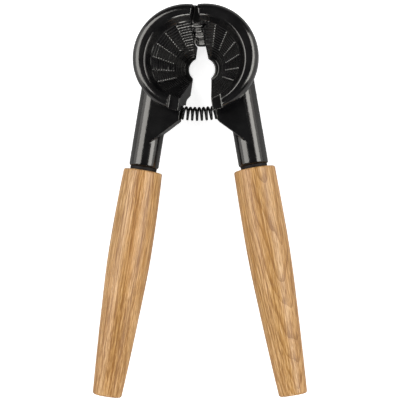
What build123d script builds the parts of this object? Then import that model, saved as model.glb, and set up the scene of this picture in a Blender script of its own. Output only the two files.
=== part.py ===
"""Hand-squeezed cone nut cracker, lying on its back with the mouth of the funnel up.

Two mirrored half-funnel jaws hinge at the head end, a coil spring holds them open, and each
jaw's arm carries a turned wooden grip. Millimetres, +Z up. The origin lies on the table under
the middle of the whole tool, +Y points to the head and +X to the right jaw. The pose is the
open one, with both jaws swung OPEN_ANGLE away from the closed line.

Inside a jaw, "out" is the distance from the split line and "along" the distance from the hinge
axis, negative towards the grips. Both turn with the jaw.
"""
from build123d import *
import os
from math import cos, pi, radians, sin, sqrt, tan

# Hinge
OPEN_ANGLE = 8.2          # degrees that each jaw is swung open in this pose
HINGE_Y = 94.8            # hinge axis, so that the origin is at the middle of the length
PIN_RADIUS = 2.0
PIN_RUNNING_CLEARANCE = 0.05
PIN_BOTTOM = 0.8
PIN_TOP = 25.0
BARREL_RADIUS = 4.6
KNUCKLE_HALF_WIDTH = 4.6
KNUCKLE_CLEARANCE = 0.35
KNUCKLE_GAP = 0.3         # free height between one knuckle and the next
# (bottom height, top height, reach towards the funnel) from the mouth side to the back
KNUCKLES = [
    (20.9, 26.8, 8.3),
    (14.2, 20.6, 9.6),
    (7.4, 13.9, 11.2),
    (0.0, 7.1, 13.7),
]
LEFT_KNUCKLES = (0, 2)
RIGHT_KNUCKLES = (1, 3)
NOSE_DEPTH = 2.6          # slope at the end of each knuckle, where it looks into the funnel
NOSE_DROP = 1.7

# Funnel
HEAD_HEIGHT = 34.0
SPLIT_GAP = 0.25          # half of the gap between the closed jaws, at the back
SPLIT_DRAFT = 2.1         # degrees by which the split faces lean apart towards the mouth
OUTER_OUT = 1.1           # axis of the outside, seen from the hinge
OUTER_ALONG = -24.35
RIM_RADIUS = 26.6
RIM_ROUNDING = 3.8
RIM_WIDEST_Z = 26.5
BACK_RADIUS = 15.3
INNER_OUT = -1.0          # axis of the space for the nut
INNER_ALONG = -25.5
MOUTH_RADIUS = 21.6
MOUTH_ROUNDING = 0.8
LIP_BOTTOM_Z = 29.5
LIP_BOTTOM_RADIUS = 19.6
TERRACES = 14
TERRACE_HEIGHT = 2.0
TERRACE_RADIUS = 19.5     # to the corners of the widest terrace
TERRACE_STEP = 0.96
TERRACE_LEAN = 0.45       # how far a terrace wall leans in over its height
TERRACE_SIDES = 18
HOLE_OUT = -2.85
HOLE_RADIUS = 5.9
RECESS_WIDTH = 6.6        # the rim is lowered beside the split line at its lower end
RECESS_TOP_ALONG = -38.0

# Arms and webs. The two arms lie a little differently, as cast.
ARM_DROP = 80.0           # this far below the hinge axis ...
ARM_X = {"left": 28.98, "right": 28.05}     # ... an arm's axis is at this distance from the middle ...
ARM_ANGLE = {"left": 8.95, "right": 9.75}   # ... and at this angle to it, in degrees
ARM_Z = 10.8              # also the grips' widest radius, so that they touch the table
ARM_RADIUS = 7.5
ARM_LENGTH = 49.0
ARM_END_ROUNDING = 1.2
WEB_THICKNESS = 9.0
WEB_OUTLINE = [(0, -42), (0, -52.6), (1.9, -54.4), (14.2, -66.6), (17.0, -69.6), (16.4, -38), (8, -36)]
SEAT_OUT = 1.9            # face of the web that the spring stands in
SEAT_TOP_ALONG = -45.8

# Spring
SPRING_REACH = 50.1       # from the hinge axis to the spring's axis
SPRING_Z = 14.2
WIRE_RADIUS = 0.55
COIL_RADIUS = 2.95
SPRING_TURNS = 12.75
POCKET_RADIUS = 3.95
POCKET_OUT = 8.4
SPRING_END_GAP = 0.25

# Grips, and what holds them
COLLAR_RADIUS = 6.7
COLLAR_THICKNESS = 1.8
# The grips are turned by hand, each to its own shape
GRIP_DROP = {"left": 78.4, "right": 77.8}   # top of the wood, this far below the hinge axis
GRIP_LENGTH = {"left": 114.6, "right": 114.0}
GRIP_TOP_RADIUS = {"left": 9.75, "right": 10.4}
GRIP_WIDEST_DOWN = {"left": 41.0, "right": 35.0}
GRIP_WAIST = {"left": (9.95, 67.5), "right": (9.75, 68.0)}  # radius, distance down the grip
GRIP_END_RADIUS = {"left": 7.3, "right": 7.05}
GRIP_TOP_ROUNDING = 0.8
GRIP_END_ROUNDING = 1.3
STUD_RADIUS = 3.0
STUD_IN_ARM = 16.0
STUD_IN_GRIP = 30.0
INSERT_RADIUS = 4.6
INSERT_LENGTH = 28.0
STUD_CLEARANCE = 0.02

SWING = radians(OPEN_ANGLE)


def jaw_point(out, along, height=0.0):
    """A point of the right jaw, in the open pose."""
    x = out * cos(SWING) - along * sin(SWING)
    y = out * sin(SWING) + along * cos(SWING)
    return Vector(x, HINGE_Y + y, height)


def jaw_plane(out, along, height):
    """A level plane on the right jaw, with X pointing out and Y along to the hinge."""
    return Plane(jaw_point(out, along, height), x_dir=(cos(SWING), sin(SWING), 0), z_dir=(0, 0, 1))


def upright_plane(out, along):
    """An upright plane through a funnel's axis, with X pointing out and Y up."""
    return Plane(jaw_point(out, along), x_dir=(cos(SWING), sin(SWING), 0), z_dir=(sin(SWING), -cos(SWING), 0))


def turning_plane(word, side):
    """The plane that a grip is turned in: Y runs along the arm's axis, from the top of the wood."""
    lean = radians(ARM_ANGLE[word])
    x = ARM_X[word] - (ARM_DROP - GRIP_DROP[word]) * tan(lean)
    origin = (side * x, HINGE_Y - GRIP_DROP[word], ARM_Z)
    return Plane(origin, x_dir=(side * cos(lean), sin(lean), 0), z_dir=(0, 0, -side))


def split_plane(out):
    """The leaning face where a jaw ends, with its normal pointing out of the gap into the jaw."""
    draft = radians(SPLIT_DRAFT)
    normal = Vector(cos(SWING) * cos(draft), sin(SWING) * cos(draft), -sin(draft))
    return Plane(jaw_point(out, 0), x_dir=(-sin(SWING), cos(SWING), 0), z_dir=normal)


def jaw(word, own_knuckles):
    """A jaw with its arm, on the right. The other jaw's knuckles have room to swing in it."""
    turning = turning_plane(word, 1)
    arm_axis = Axis(turning.origin, turning.y_dir)
    arm_end = -COLLAR_THICKNESS
    arm_top = arm_end - ARM_LENGTH
    with BuildPart() as half:
        with BuildSketch(upright_plane(OUTER_OUT, OUTER_ALONG)):
            with BuildLine():
                Polyline((0, HEAD_HEIGHT), (0, 0), (BACK_RADIUS, 0), (18.4, 8), (23.6, 15.5),
                         (RIM_RADIUS, RIM_WIDEST_Z), (RIM_RADIUS, HEAD_HEIGHT - RIM_ROUNDING))
                TangentArc((RIM_RADIUS, HEAD_HEIGHT - RIM_ROUNDING),
                           (RIM_RADIUS - RIM_ROUNDING, HEAD_HEIGHT), tangent=(0, 1))
                Line((RIM_RADIUS - RIM_ROUNDING, HEAD_HEIGHT), (0, HEAD_HEIGHT))
            make_face()
        revolve(axis=Axis(jaw_point(OUTER_OUT, OUTER_ALONG), (0, 0, 1)))
        with BuildSketch(turning) as arm_outline:
            with BuildLine():
                Line((0, arm_top - ARM_RADIUS), (0, arm_end))
                Line((0, arm_end), (ARM_RADIUS, arm_end))
                Line((ARM_RADIUS, arm_end), (ARM_RADIUS, arm_top))
                TangentArc((ARM_RADIUS, arm_top), (0, arm_top - ARM_RADIUS), tangent=(0, -1))
            make_face()
            fillet(arm_outline.vertices().sort_by(Axis.Y)[-2:].sort_by(Axis.X)[-1], ARM_END_ROUNDING)
        revolve(axis=arm_axis)
        with BuildSketch(jaw_plane(0, 0, ARM_Z + ARM_RADIUS - WEB_THICKNESS)):
            Polygon(*WEB_OUTLINE, align=None)
        extrude(amount=WEB_THICKNESS)
        split(bisect_by=split_plane(SPLIT_GAP), keep=Keep.TOP)

        # the space for the nut
        with BuildSketch(upright_plane(INNER_OUT, INNER_ALONG)):
            with BuildLine():
                Line((0, HEAD_HEIGHT), (0, LIP_BOTTOM_Z))
                Line((0, LIP_BOTTOM_Z), (LIP_BOTTOM_RADIUS, LIP_BOTTOM_Z))
                Line((LIP_BOTTOM_RADIUS, LIP_BOTTOM_Z), (MOUTH_RADIUS, HEAD_HEIGHT - MOUTH_ROUNDING))
                Line((MOUTH_RADIUS, HEAD_HEIGHT - MOUTH_ROUNDING), (MOUTH_RADIUS + MOUTH_ROUNDING, HEAD_HEIGHT))
                Line((MOUTH_RADIUS + MOUTH_ROUNDING, HEAD_HEIGHT), (0, HEAD_HEIGHT))
            make_face()
        revolve(axis=Axis(jaw_point(INNER_OUT, INNER_ALONG), (0, 0, 1)), mode=Mode.SUBTRACT)
        for step in range(TERRACES):
            terrace_top = LIP_BOTTOM_Z - step * TERRACE_HEIGHT
            terrace_radius = TERRACE_RADIUS - step * TERRACE_STEP
            with BuildSketch(jaw_plane(INNER_OUT, INNER_ALONG, terrace_top)):
                RegularPolygon(terrace_radius, TERRACE_SIDES)
            with BuildSketch(jaw_plane(INNER_OUT, INNER_ALONG, terrace_top - TERRACE_HEIGHT)):
                RegularPolygon(terrace_radius - TERRACE_LEAN, TERRACE_SIDES)
            loft(ruled=True, mode=Mode.SUBTRACT)
        with BuildSketch(jaw_plane(HOLE_OUT, INNER_ALONG, 0)):
            Circle(HOLE_RADIUS)
        extrude(amount=HEAD_HEIGHT, mode=Mode.SUBTRACT)

        # the lowered rim end, and the face for the spring
        with BuildSketch(jaw_plane(0, RECESS_TOP_ALONG, LIP_BOTTOM_Z)):
            Rectangle(RECESS_WIDTH, 2 * BACK_RADIUS, align=(Align.MIN, Align.MAX))
        extrude(amount=HEAD_HEIGHT, mode=Mode.SUBTRACT)
        with BuildSketch(jaw_plane(0, SEAT_TOP_ALONG, 0)):
            Rectangle(SEAT_OUT, 2 * BACK_RADIUS, align=(Align.MIN, Align.MAX))
        extrude(amount=ARM_Z + ARM_RADIUS, mode=Mode.SUBTRACT)
        seat = jaw_plane(0, 0, 0)
        pocket = Plane(jaw_point(0, -SPRING_REACH, SPRING_Z), x_dir=seat.y_dir, z_dir=seat.x_dir)
        with BuildSketch(pocket):
            Circle(POCKET_RADIUS)
        extrude(amount=POCKET_OUT, mode=Mode.SUBTRACT)

        # the hinge
        for number, (bottom, top, reach) in enumerate(KNUCKLES):
            if number in own_knuckles:
                continue
            with BuildSketch(jaw_plane(0, 0, bottom - KNUCKLE_GAP)):
                Circle(reach + KNUCKLE_CLEARANCE)
                edge = KNUCKLE_HALF_WIDTH + KNUCKLE_CLEARANCE
                with Locations((edge, 0)):
                    Rectangle(4 * reach, 4 * reach, align=(Align.MIN, Align.CENTER), mode=Mode.SUBTRACT)
            extrude(amount=top - bottom + 2 * KNUCKLE_GAP, mode=Mode.SUBTRACT)
        for number in own_knuckles:
            bottom, top, reach = KNUCKLES[number]
            with BuildPart(mode=Mode.PRIVATE) as knuckle:
                with BuildSketch(jaw_plane(0, 0, bottom)):
                    Circle(reach)
                    with Locations((0, 0)):
                        Rectangle(2 * KNUCKLE_HALF_WIDTH, 2 * reach, align=(Align.CENTER, Align.MAX),
                                  mode=Mode.INTERSECT)
                    Circle(BARREL_RADIUS)
                    with Locations((OUTER_OUT, OUTER_ALONG)):
                        Circle(RIM_RADIUS + KNUCKLE_CLEARANCE, mode=Mode.INTERSECT)
                extrude(amount=top - bottom)
                nose = knuckle.edges().group_by(Axis.Z)[-1].sort_by(Axis.Y)[0]
                chamfer(nose, NOSE_DEPTH, NOSE_DROP, reference=knuckle.faces().sort_by(Axis.Z)[-1])
            add(knuckle.part)
        clearance = 0.0 if own_knuckles == LEFT_KNUCKLES else PIN_RUNNING_CLEARANCE
        with BuildSketch(jaw_plane(0, 0, 0)):
            Circle(PIN_RADIUS + clearance)
        extrude(amount=PIN_TOP, mode=Mode.SUBTRACT)

        # the bore for the stud
        with BuildSketch(Plane(turning.origin + turning.y_dir * arm_end, z_dir=turning.y_dir)):
            Circle(STUD_RADIUS + STUD_CLEARANCE)
        extrude(amount=-STUD_IN_ARM, mode=Mode.SUBTRACT)
    return half.part


def spring_axis(distance):
    """Point, direction and outward normal of the spring's axis, this far from its middle.

    Between the jaws the axis is an arc about the hinge, and inside the pockets it is straight.
    """
    bend = SPRING_REACH * SWING
    angle = max(-bend, min(bend, distance)) / SPRING_REACH
    straight = distance - angle * SPRING_REACH
    direction = Vector(cos(angle), sin(angle), 0)
    normal = Vector(sin(angle), -cos(angle), 0)
    centre = Vector(0, HINGE_Y, SPRING_Z) + normal * SPRING_REACH + direction * straight
    return centre, direction, normal


def coil_point(turn):
    """A point on the middle of the spring's wire, counted in turns from its left end."""
    half_length = SPRING_REACH * SWING + POCKET_OUT - WIRE_RADIUS - SPRING_END_GAP
    centre, _, normal = spring_axis(half_length * (2 * turn / SPRING_TURNS - 1))
    angle = 2 * pi * turn
    return centre + normal * (COIL_RADIUS * cos(angle)) + Vector(0, 0, COIL_RADIUS * sin(angle))


def coil_direction(turn):
    """The wire's direction at that point."""
    small = 0.001
    return (coil_point(turn + small) - coil_point(turn - small)).normalized()


def add_biarc(start, start_direction, end, end_direction):
    """Two arcs that leave start and reach end in the given directions, tangent where they meet."""
    chord = end - start
    total = start_direction + end_direction
    bend = 2 * (1 - start_direction.dot(end_direction))
    along = chord.dot(total)
    reach = (sqrt(along * along + bend * chord.dot(chord)) - along) / bend
    corner = start + start_direction * reach
    other_corner = end - end_direction * reach
    middle = (corner + other_corner) * 0.5
    TangentArc(start, middle, tangent=start_direction)
    TangentArc(middle, end, tangent=other_corner - corner)


# Jaws: the left one is made on the right too, and then mirrored
right_jaw_body = jaw("right", RIGHT_KNUCKLES)
left_jaw_body = jaw("left", LEFT_KNUCKLES)

with BuildPart() as right_jaw:
    add(right_jaw_body)

with BuildPart() as left_jaw:
    mirror(left_jaw_body, about=Plane.YZ)

# Hinge pin, driven in from the back
with BuildPart() as hinge_pin:
    with BuildSketch(Plane((0, HINGE_Y, PIN_BOTTOM))):
        Circle(PIN_RADIUS)
    extrude(amount=PIN_TOP - PIN_BOTTOM)
    chamfer(hinge_pin.edges().filter_by(GeomType.CIRCLE), 0.3)

# Return spring: one wire, wound on quarter turns of two arcs each
with BuildPart() as return_spring:
    with BuildLine() as wire_path:
        quarters = round(4 * SPRING_TURNS)
        for quarter in range(quarters):
            here = quarter / 4
            there = (quarter + 1) / 4
            add_biarc(coil_point(here), coil_direction(here), coil_point(there), coil_direction(there))
        wire_start = coil_point(0) - coil_direction(0) * (2 * WIRE_RADIUS)
        wire_end = coil_point(SPRING_TURNS) + coil_direction(SPRING_TURNS) * (2 * WIRE_RADIUS)
        Line(wire_start, coil_point(0))
        Line(coil_point(SPRING_TURNS), wire_end)
    with BuildSketch(Plane(wire_start, z_dir=coil_direction(0))):
        Circle(WIRE_RADIUS)
    sweep(path=wire_path.wire())

SAMPLES_PER_TURN = 72
coil = [coil_point(i / SAMPLES_PER_TURN) for i in range(round(SPRING_TURNS * SAMPLES_PER_TURN))]
nearest = min(
    (coil[i] - coil[j]).length
    for i in range(0, len(coil), 3)
    for j in range(i + SAMPLES_PER_TURN // 2, min(len(coil), i + 2 * SAMPLES_PER_TURN))
)
print("spring: least gap of the wire to itself", round(nearest - 2 * WIRE_RADIUS, 3), "mm")
print("spring: volume over section times length",
      round(return_spring.part.volume / (pi * WIRE_RADIUS**2 * wire_path.wire().length), 4))

pieces = {
    "left_jaw": left_jaw,
    "right_jaw": right_jaw,
    "hinge_pin": hinge_pin,
    "return_spring": return_spring,
}

# Grips, with the collar, stud and insert that hold each of them
for side, word in ((-1, "left"), (1, "right")):
    turning = turning_plane(word, side)
    axis = Axis(turning.origin, turning.y_dir)

    with BuildPart() as grip:
        with BuildSketch(turning) as outline:
            with BuildLine():
                top = (GRIP_TOP_RADIUS[word], 0)
                widest = (ARM_Z, GRIP_WIDEST_DOWN[word])
                end = (GRIP_END_RADIUS[word], GRIP_LENGTH[word])
                TangentArc(widest, top, tangent=(0, -1))
                Spline(widest, GRIP_WAIST[word], end, tangents=[(0, 1), (-0.07, 1)])
                Polyline(end, (0, GRIP_LENGTH[word]), (0, 0), top)
            make_face()
            fillet(outline.vertices().sort_by(Axis.Y)[:2].sort_by(Axis.X)[-1], GRIP_TOP_ROUNDING)
            fillet(outline.vertices().sort_by(Axis.Y)[-2:].sort_by(Axis.X)[-1], GRIP_END_ROUNDING)
        revolve(axis=axis)
        with BuildSketch(Plane(turning.origin, z_dir=turning.y_dir)):
            Circle(INSERT_RADIUS)
        extrude(amount=INSERT_LENGTH, mode=Mode.SUBTRACT)
        with BuildSketch(Plane(turning.origin, z_dir=turning.y_dir)):
            Circle(STUD_RADIUS + STUD_CLEARANCE)
        extrude(amount=STUD_IN_GRIP, mode=Mode.SUBTRACT)

    with BuildPart() as collar:
        with BuildSketch(Plane(turning.origin, z_dir=turning.y_dir)):
            Circle(COLLAR_RADIUS)
            Circle(STUD_RADIUS + STUD_CLEARANCE, mode=Mode.SUBTRACT)
        extrude(amount=-COLLAR_THICKNESS)

    with BuildPart() as insert:
        with BuildSketch(Plane(turning.origin, z_dir=turning.y_dir)):
            Circle(INSERT_RADIUS)
            Circle(STUD_RADIUS + STUD_CLEARANCE, mode=Mode.SUBTRACT)
        extrude(amount=INSERT_LENGTH)

    with BuildPart() as stud:
        start = turning.origin - turning.y_dir * (COLLAR_THICKNESS + STUD_IN_ARM - 0.5)
        with BuildSketch(Plane(start, z_dir=turning.y_dir)):
            Circle(STUD_RADIUS)
        extrude(amount=COLLAR_THICKNESS + STUD_IN_ARM + STUD_IN_GRIP - 1.0)
        chamfer(stud.edges().filter_by(GeomType.CIRCLE), 0.5)

    pieces[word + "_grip"] = grip
    pieces[word + "_collar"] = collar
    pieces[word + "_insert"] = insert
    pieces[word + "_stud"] = stud

os.makedirs("parts", exist_ok=True)
for name, piece in pieces.items():
    piece.part.label = name
    export_step(piece.part, "parts/" + name + ".step")
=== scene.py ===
from math import cos, pi, radians, sin

import bpy
from mathutils import Matrix, Vector


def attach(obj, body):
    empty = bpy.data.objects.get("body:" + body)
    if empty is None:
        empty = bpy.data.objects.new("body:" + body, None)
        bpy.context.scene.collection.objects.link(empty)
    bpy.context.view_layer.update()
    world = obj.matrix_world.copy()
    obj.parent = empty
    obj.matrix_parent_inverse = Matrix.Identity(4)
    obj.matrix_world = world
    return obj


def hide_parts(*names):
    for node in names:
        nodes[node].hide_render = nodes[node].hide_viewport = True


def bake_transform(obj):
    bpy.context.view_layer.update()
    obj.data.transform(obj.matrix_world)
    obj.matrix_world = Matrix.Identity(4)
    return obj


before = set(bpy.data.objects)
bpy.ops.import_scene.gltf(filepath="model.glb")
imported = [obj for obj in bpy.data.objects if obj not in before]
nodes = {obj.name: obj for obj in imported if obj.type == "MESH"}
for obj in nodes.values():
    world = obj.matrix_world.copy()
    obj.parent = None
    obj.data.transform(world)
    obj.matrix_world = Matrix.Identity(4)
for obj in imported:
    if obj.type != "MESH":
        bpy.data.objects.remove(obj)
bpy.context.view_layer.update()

bpy.ops.object.select_all(action="DESELECT")

# ---------------------------------------------------------------------------
# The picture. The tool lies on its back on white paper, and the camera looks down
# on it from 0.7 m, a few degrees from the right and from the grips.
# ---------------------------------------------------------------------------
aim = Vector((0.00078, 0.00130, 0.015))
distance = 0.7
tilt_right = radians(6.665)
tilt_down = radians(3.594)
roll = radians(0.141)
towards = Vector((
    sin(tilt_right),
    -sin(tilt_down) * cos(tilt_right),
    cos(tilt_down) * cos(tilt_right),
))
right = Vector((0, 1, 0)).cross(towards).normalized()
level = Matrix((right, towards.cross(right), towards)).transposed().to_4x4()
place_of_camera = Matrix.Translation(aim + distance * towards)

camera_data = bpy.data.cameras.new("camera")
camera_data.sensor_width = 36
camera_data.lens = 126.0
camera = bpy.data.objects.new("camera", camera_data)
camera.matrix_world = place_of_camera @ level @ Matrix.Rotation(roll, 4, "Z")
bpy.context.scene.collection.objects.link(camera)
bpy.context.scene.camera = camera
bpy.context.scene.view_settings.view_transform = "Standard"

# ---------------------------------------------------------------------------
# White paper under the tool, and the studio light: a bright softbox and a dim wall on
# each side, with a dark gap overhead, and a small softbox low beyond the grips.
# ---------------------------------------------------------------------------
just_below_the_tool = -0.00002
bpy.ops.mesh.primitive_plane_add(size=6, location=(0, 0, just_below_the_tool))
floor = bpy.context.object
floor.name = "floor"


class Flow:
    """A node socket that takes part in arithmetic, so that shader maths reads as sums."""

    def __init__(self, socket):
        self.socket = socket
        self.tree = socket.id_data

    def node(self, kind, settings=None, **values):
        """Another node. Values go to sockets by name, or by number as in _0."""
        node = self.tree.nodes.new(kind)
        outlet = 0
        for name, value in (settings or {}).items():
            if name == "outlet":
                outlet = value
            elif name == "stops":
                ramp = node.color_ramp
                while len(ramp.elements) < len(value):
                    ramp.elements.new(0.5)
                for element, (position, colour) in zip(ramp.elements, value):
                    element.position = position
                    element.color = (*colour, 1)
            else:
                setattr(node, name, value)
        for name, value in values.items():
            key = int(name[1:]) if name[0] == "_" else name.replace("_", " ")
            if isinstance(value, Flow):
                self.tree.links.new(value.socket, node.inputs[key])
            else:
                node.inputs[key].default_value = value
        return Flow(node.outputs[outlet])

    def maths(self, operation, first, second=0.0, third=0.0):
        settings = {"operation": operation}
        return self.node("ShaderNodeMath", settings, _0=first, _1=second, _2=third)

    def __add__(self, other):
        return self.maths("ADD", self, other)

    def __radd__(self, other):
        return self.maths("ADD", other, self)

    def __sub__(self, other):
        return self.maths("SUBTRACT", self, other)

    def __rsub__(self, other):
        return self.maths("SUBTRACT", other, self)

    def __mul__(self, other):
        return self.maths("MULTIPLY", self, other)

    def __rmul__(self, other):
        return self.maths("MULTIPLY", other, self)


def material(name, **constants):
    """A new material: its shader node with these constants, and its place coordinates."""
    made = bpy.data.materials.new(name)
    made.use_nodes = True
    shader = made.node_tree.nodes["Principled BSDF"]
    for socket, value in constants.items():
        shader.inputs[socket.replace("_", " ")].default_value = value
    place = made.node_tree.nodes.new("ShaderNodeTexCoord").outputs["Object"]
    return made, shader, Flow(place)


def feed(shader, **flows):
    """Links each flow to the shader's socket of that name."""
    for socket, flow in flows.items():
        flow.tree.links.new(flow.socket, shader.inputs[socket.replace("_", " ")])


paper, paper_shader, place = material(
    "white_paper",
    Roughness=0.9,
    Specular_IOR_Level=0.1,
    Emission_Color=(1, 1, 1, 1),
)
pulp = place.node("ShaderNodeTexNoise", Vector=place, Scale=900.0, Detail=3.0)
seen = place.node("ShaderNodeLightPath", {"outlet": "Is Camera Ray"})
mirrored = place.node("ShaderNodeLightPath", {"outlet": "Is Glossy Ray"})
tone = 0.86 - 0.45 * mirrored
feed(
    paper_shader,
    Base_Color=place.node("ShaderNodeCombineColor", Red=tone, Green=tone, Blue=tone),
    Emission_Strength=seen * 0.72,
    Normal=place.node("ShaderNodeBump", Height=pulp, Strength=0.1, Distance=0.0001),
)
floor.data.materials.append(paper)

world = bpy.data.worlds.new("studio")
bpy.context.scene.world = world
world.use_nodes = True
background = world.node_tree.nodes["Background"]
background.inputs["Color"].default_value = (1, 1, 1, 1)
rays = world.node_tree.nodes.new("ShaderNodeLightPath")
straight = Flow(rays.outputs["Is Camera Ray"])
glossy = Flow(rays.outputs["Is Glossy Ray"])
feed(background, Strength=0.15 + straight * 0.85 - glossy * 0.11)


def lamp(name, spot, size, radiance):
    """A rectangular lamp hung at spot, facing the tool, that the camera doesn't see."""
    data = bpy.data.lights.new(name, "AREA")
    data.shape = "RECTANGLE"
    data.size = size[0]
    data.size_y = size[1]
    data.energy = radiance * pi * size[0] * size[1]
    hung = bpy.data.objects.new(name, data)
    hung.location = spot
    hung.rotation_euler = Vector(spot).to_track_quat("Z", "Y").to_euler()
    hung.visible_camera = False
    bpy.context.scene.collection.objects.link(hung)


lamp("right_box", (0.73, 0.13, 0.60), (0.95, 0.46), 4.6)
lamp("right_wall", (0.97, 0.15, 0.26), (1.2, 0.42), 0.9)
lamp("left_box", (-0.60, 0.25, 0.74), (0.95, 0.62), 3.6)
lamp("left_wall", (-0.95, 0.20, 0.32), (1.2, 0.52), 1.1)
lamp("beyond_the_grips", (0.0, -0.95, 0.44), (0.6, 0.4), 6.0)

# ---------------------------------------------------------------------------
# Jaws: two iron castings, each half a funnel with its arm, dipped in black enamel.
# Casting and enamel round every edge a little, which the closed, smoothed skin gives.
# ---------------------------------------------------------------------------
enamel, enamel_shader, place = material(
    "black_enamel",
    Specular_IOR_Level=1.0,
    Specular_Tint=(1.0, 0.975, 0.92, 1),
)
cloud = place.node("ShaderNodeTexNoise", Vector=place, Scale=140.0, Detail=2.0)
peel = place.node("ShaderNodeTexNoise", Vector=place, Scale=620.0, Detail=2.0)
sand = place.node("ShaderNodeTexNoise", Vector=place, Scale=2600.0, Detail=2.0)
uneven = peel + sand * 0.12
feed(
    enamel_shader,
    Base_Color=cloud.node("ShaderNodeValToRGB", {
        "stops": [(0.35, (0.003, 0.003, 0.0035)), (0.65, (0.006, 0.006, 0.0065))],
    }, Fac=cloud),
    Roughness=0.09 + cloud * 0.08 + sand * 0.04,
    Normal=place.node("ShaderNodeBump", Height=uneven, Strength=0.35, Distance=0.0001),
)
for name in ("left_jaw", "right_jaw"):
    jaw = nodes[name]
    jaw.material_slots[0].material = enamel
    closed = jaw.modifiers.new("closed", "WELD")
    closed.merge_threshold = 0.000002
    skin = jaw.modifiers.new("cast_skin", "REMESH")
    skin.mode = "VOXEL"
    skin.voxel_size = 0.00031
    skin.use_smooth_shade = True
    flowed = jaw.modifiers.new("flowed_enamel", "SMOOTH")
    flowed.factor = 0.5
    flowed.iterations = 4
    lighter = jaw.modifiers.new("lighter", "DECIMATE")
    lighter.ratio = 0.6

# ---------------------------------------------------------------------------
# Tooth tips: small beads of bright metal where the terraces' corners stand out into the nut
# space. They are painted highlights, standing for the glints that the rounded enamel corners
# catch. A row runs down the funnel, one tip to a terrace.
# ---------------------------------------------------------------------------
# Painted highlight: these bright metal beads stand for the glints on the rounded enamel corners.
glint_bead_metal, bright_shader, place = material("glint_bead_metal", Metallic=1.0)
glint_mottle = place.node("ShaderNodeTexNoise", Vector=place, Scale=6000.0, Detail=2.0)
feed(
    bright_shader,
    Base_Color=glint_mottle.node("ShaderNodeValToRGB", {
        "stops": [(0.3, (0.45, 0.44, 0.42)), (0.7, (0.75, 0.74, 0.71))],
    }, Fac=glint_mottle),
    Roughness=0.2 + glint_mottle * 0.25,
)

degrees_each_jaw_is_open = 8.2
degrees_to_a_row = (-40, -20, 0, 20, 40, 60)
tips_in_a_row = 9
tip_radius = 0.00034
funnel_x = 0.002647
funnel_y = 0.069418
top_tip_reach = 0.01864
top_tip_height = 0.02742
terrace_width = 0.00096
terrace_drop = 0.002
for word, side in (("left", -1), ("right", 1)):
    rows = []
    for degrees in degrees_to_a_row:
        swung = radians(degrees + degrees_each_jaw_is_open)
        outward = Vector((side * cos(swung), sin(swung), 0))
        top = Vector((side * funnel_x, funnel_y, top_tip_height)) + outward * top_tip_reach
        bpy.ops.mesh.primitive_ico_sphere_add(subdivisions=2, radius=tip_radius, location=top)
        tip = bpy.context.object
        row = tip.modifiers.new("one_to_a_terrace", "ARRAY")
        row.count = tips_in_a_row
        row.use_relative_offset = False
        row.use_constant_offset = True
        row.constant_offset_displace = -terrace_width * outward - Vector((0, 0, terrace_drop))
        bpy.ops.object.modifier_apply(modifier=row.name)
        rows.append(tip)
    bpy.ops.object.select_all(action="DESELECT")
    for tip in rows:
        tip.select_set(True)
    bpy.ops.object.join()
    tips = bpy.context.object
    tips.name = word + "_tooth_tips"
    bpy.ops.object.transform_apply(location=True, rotation=True, scale=True)
    bpy.ops.object.shade_smooth()
    tips.data.materials.append(glint_bead_metal)
    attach(tips, word)
    bpy.ops.object.select_all(action="DESELECT")

# ---------------------------------------------------------------------------
# Hinge pin: a plain pin of ground steel, the axle of both jaws. It is pressed into the
# left jaw's knuckles from the back, so only its end shows there.
# ---------------------------------------------------------------------------
pin_steel, pin_shader, place = material("ground_steel", Metallic=1.0)
lines = place.node("ShaderNodeMapping", Vector=place, Scale=(900, 900, 9000))
marks = place.node("ShaderNodeTexNoise", Vector=lines, Scale=1.0, Detail=3.0)
feed(
    pin_shader,
    Base_Color=marks.node("ShaderNodeValToRGB", {
        "stops": [(0.3, (0.42, 0.42, 0.43)), (0.7, (0.60, 0.60, 0.61))],
    }, Fac=marks),
    Roughness=0.22 + marks * 0.2,
    Normal=place.node("ShaderNodeBump", Height=marks, Strength=0.3, Distance=0.00002),
)
nodes["hinge_pin"].material_slots[0].material = pin_steel

# ---------------------------------------------------------------------------
# Return spring: wound from spring steel wire in open turns, and dark from its hardening.
# Its ends stand in blind pockets of the jaws' webs, and between them the coil curves
# about the hinge.
# ---------------------------------------------------------------------------
middle_of_coil = Vector((0, 0.0447, 0.0142))
wire_radius = 0.00062
wire_sides = 14
coil_radius = 0.00295
half_length = 0.01477
turns = 12.75
steps_a_turn = 32
curved_by = radians(16.4)
curved_part = (0.266, 0.734)

bpy.ops.mesh.primitive_circle_add(
    vertices=wire_sides, radius=wire_radius, location=middle_of_coil)
spring = bpy.context.object
spring.name = "wound_spring"
bpy.ops.object.mode_set(mode="EDIT")
bpy.ops.mesh.select_all(action="SELECT")
bpy.ops.transform.translate(value=(-half_length, -coil_radius, 0))
bpy.ops.object.mode_set(mode="OBJECT")
wound = spring.modifiers.new("wound", "SCREW")
wound.axis = "X"
wound.angle = radians(-360 * turns)
wound.screw_offset = 2 * half_length
wound.steps = int(turns * steps_a_turn)
wound.render_steps = wound.steps
bpy.ops.object.modifier_apply(modifier=wound.name)
curved = spring.modifiers.new("curved", "SIMPLE_DEFORM")
curved.deform_method = "BEND"
curved.deform_axis = "Z"
curved.angle = curved_by
curved.limits = curved_part
bpy.ops.object.modifier_apply(modifier=curved.name)
bpy.ops.object.mode_set(mode="EDIT")
bpy.ops.mesh.select_all(action="SELECT")
bpy.ops.mesh.fill_holes(sides=0)
bpy.ops.mesh.select_all(action="SELECT")
bpy.ops.mesh.normals_make_consistent(inside=False)
bpy.ops.object.mode_set(mode="OBJECT")
bpy.ops.object.transform_apply(location=True, rotation=True, scale=True)
bpy.ops.object.shade_smooth_by_angle(angle=radians(50))

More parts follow.
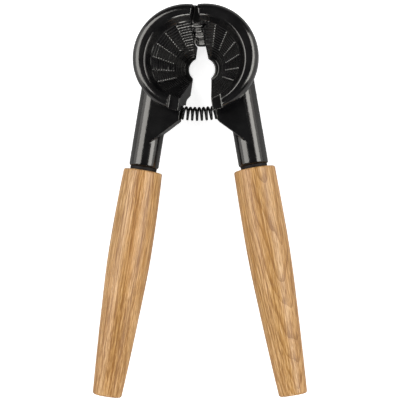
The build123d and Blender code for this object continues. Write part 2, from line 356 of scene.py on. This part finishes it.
spring_steel, spring_shader, place = material("spring_wire", Metallic=1.0)
lines = place.node("ShaderNodeMapping", Vector=place, Scale=(2500, 500, 500))
marks = place.node("ShaderNodeTexNoise", Vector=lines, Scale=1.0, Detail=3.0)
feed(
    spring_shader,
    Base_Color=marks.node("ShaderNodeValToRGB", {
        "stops": [(0.3, (0.020, 0.020, 0.021)), (0.7, (0.055, 0.055, 0.055))],
    }, Fac=marks),
    Roughness=0.24 + marks * 0.18,
)
spring.data.materials.append(spring_steel)
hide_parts("return_spring")
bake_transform(spring)

# ---------------------------------------------------------------------------
# Grips: turned from oak, sanded and oiled. The left blank was sawn on the quarter, so
# its rings run as straight stripes. The right one was sawn on the flat and shows arches.
# ---------------------------------------------------------------------------


def oak(name, lean, heart, offset, stripes, rings, rise):
    """Oak with its grain along Y turned by lean, and the tree's middle at heart (x, z).

    Stripes and rings are their contrasts. The rings of a blank sawn askew climb by rise.
    """
    made, shader, place = material(name)
    along = place.node("ShaderNodeMapping", Vector=place, Location=offset, Rotation=(0, 0, lean))

    def part(letter):
        return along.node("ShaderNodeSeparateXYZ", {"outlet": letter}, Vector=along)

    def grain(across, lengthwise, detail, roughness=0.55):
        scale = (across, lengthwise, across)
        stretched = along.node("ShaderNodeMapping", Vector=along, Scale=scale)
        return along.node("ShaderNodeTexNoise", Vector=stretched, Scale=1.0, Detail=detail,
                          Roughness=roughness)

    sway = grain(55, 17, 2.0)
    bands = grain(260, 2.5, 2.0)
    streaks = grain(1500, 28, 4.0, 0.6)
    fibres = grain(3100, 110, 3.0, 0.65)
    pores = grain(3000, 230, 2.0)
    warmth = grain(120, 12, 1.0)

    rings_a_metre = 600.0
    x = part("X") - heart[0]
    z = part("Z") - heart[1]
    reach = place.maths("SQRT", x * x + z * z)
    ring = place.maths("FRACT", (reach + part("Y") * rise + sway * 0.007) * rings_a_metre)
    early = place.maths("SMOOTH_MIN", ring * 2.5, 1.0, 0.3)
    tone = (
        0.68
        + (bands - 0.5) * stripes
        + (streaks - 0.5) * 1.7
        + (0.5 - early) * rings
        + (fibres - 0.5) * 1.6
    )
    golden = tone.node("ShaderNodeValToRGB", {
        "stops": [
            (0.10, (0.76, 0.51, 0.245)),
            (0.42, (0.58, 0.350, 0.130)),
            (0.62, (0.47, 0.260, 0.080)),
            (0.90, (0.30, 0.145, 0.036)),
        ],
    }, Fac=tone)
    reddish = tone.node("ShaderNodeValToRGB", {
        "stops": [
            (0.10, (0.79, 0.48, 0.250)),
            (0.42, (0.60, 0.325, 0.135)),
            (0.62, (0.48, 0.235, 0.084)),
            (0.90, (0.29, 0.125, 0.036)),
        ],
    }, Fac=tone)

    open_pores = place.maths("MULTIPLY_ADD", pores, 8.0, -4.2)
    open_pores = place.maths("MINIMUM", place.maths("MAXIMUM", open_pores, 0.0), 1.0)
    pore_cover = open_pores * (0.48 - early * 0.14)
    pore_brown = (0.22, 0.10, 0.032, 1)
    mixed = {"data_type": "RGBA", "outlet": 2}
    wood = tone.node("ShaderNodeMix", mixed, _0=warmth, _6=golden, _7=reddish)
    wood = tone.node("ShaderNodeMix", mixed, _0=pore_cover, _6=wood, _7=pore_brown)
    relief = fibres * 0.25 - open_pores
    feed(
        shader,
        Base_Color=wood,
        Roughness=0.26 + fibres * 0.12 + open_pores * 0.2,
        Normal=place.node("ShaderNodeBump", Height=relief, Strength=0.3, Distance=0.00008),
    )
    return made


left_oak = oak(
    "quarter_sawn_oak",
    lean=radians(8.95),
    heart=(0.045, 0.012),
    offset=(0, 0, 0),
    stripes=1.0,
    rings=0.25,
    rise=0.0,
)
right_oak = oak(
    "flat_sawn_oak",
    lean=radians(-9.75),
    heart=(0.391, 0.150),
    offset=(0.4, 0.1, 0.2),
    stripes=0.5,
    rings=0.30,
    rise=0.07,
)
nodes["left_grip"].material_slots[0].material = left_oak
nodes["right_grip"].material_slots[0].material = right_oak

# ---------------------------------------------------------------------------
# Collars: thin rings on the studs. They fill the gap between the cast arms and the wood, and are
# clamped there when the grips are screwed home. Their near-black colour is partly painted shade:
# it stands for the shadow line where arm meets wood.
# ---------------------------------------------------------------------------
# Partly painted shade: the collars' near-black stands for the shadow line at the ends of the
# arms.
collar_shade_black, collar_shader, place = material("collar_painted_shade", Specular_IOR_Level=0.25)
speck = place.node("ShaderNodeTexNoise", Vector=place, Scale=2400.0, Detail=3.0)
feed(
    collar_shader,
    Base_Color=speck.node("ShaderNodeValToRGB", {
        "stops": [(0.35, (0.005, 0.004, 0.004)), (0.7, (0.014, 0.010, 0.008))],
    }, Fac=speck),
    Roughness=0.5 + speck * 0.2,
    Normal=place.node("ShaderNodeBump", Height=speck, Strength=0.3, Distance=0.00005),
)
for name in ("left_collar", "right_collar"):
    nodes[name].material_slots[0].material = collar_shade_black

# ---------------------------------------------------------------------------
# Studs and inserts, hidden inside: zinc-plated steel studs stand in the ends of the arms
# and screw into turned brass sleeves, which are pressed into the grips.
# ---------------------------------------------------------------------------
stud_steel, stud_shader, place = material("zinc_plate", Metallic=1.0)
clouds = place.node("ShaderNodeTexNoise", Vector=place, Scale=700.0, Detail=4.0)
feed(
    stud_shader,
    Base_Color=clouds.node("ShaderNodeValToRGB", {
        "stops": [(0.3, (0.50, 0.51, 0.53)), (0.7, (0.66, 0.66, 0.66))],
    }, Fac=clouds),
    Roughness=0.3 + clouds * 0.2,
    Normal=place.node("ShaderNodeBump", Height=clouds, Strength=0.2, Distance=0.00003),
)
brass, brass_shader, place = material("turned_brass", Metallic=1.0)
clouds = place.node("ShaderNodeTexNoise", Vector=place, Scale=900.0, Detail=4.0)
feed(
    brass_shader,
    Base_Color=clouds.node("ShaderNodeValToRGB", {
        "stops": [(0.3, (0.62, 0.41, 0.16)), (0.7, (0.78, 0.57, 0.26))],
    }, Fac=clouds),
    Roughness=0.28 + clouds * 0.2,
)
for side in ("left", "right"):
    nodes[side + "_stud"].material_slots[0].material = stud_steel
    nodes[side + "_insert"].material_slots[0].material = brass
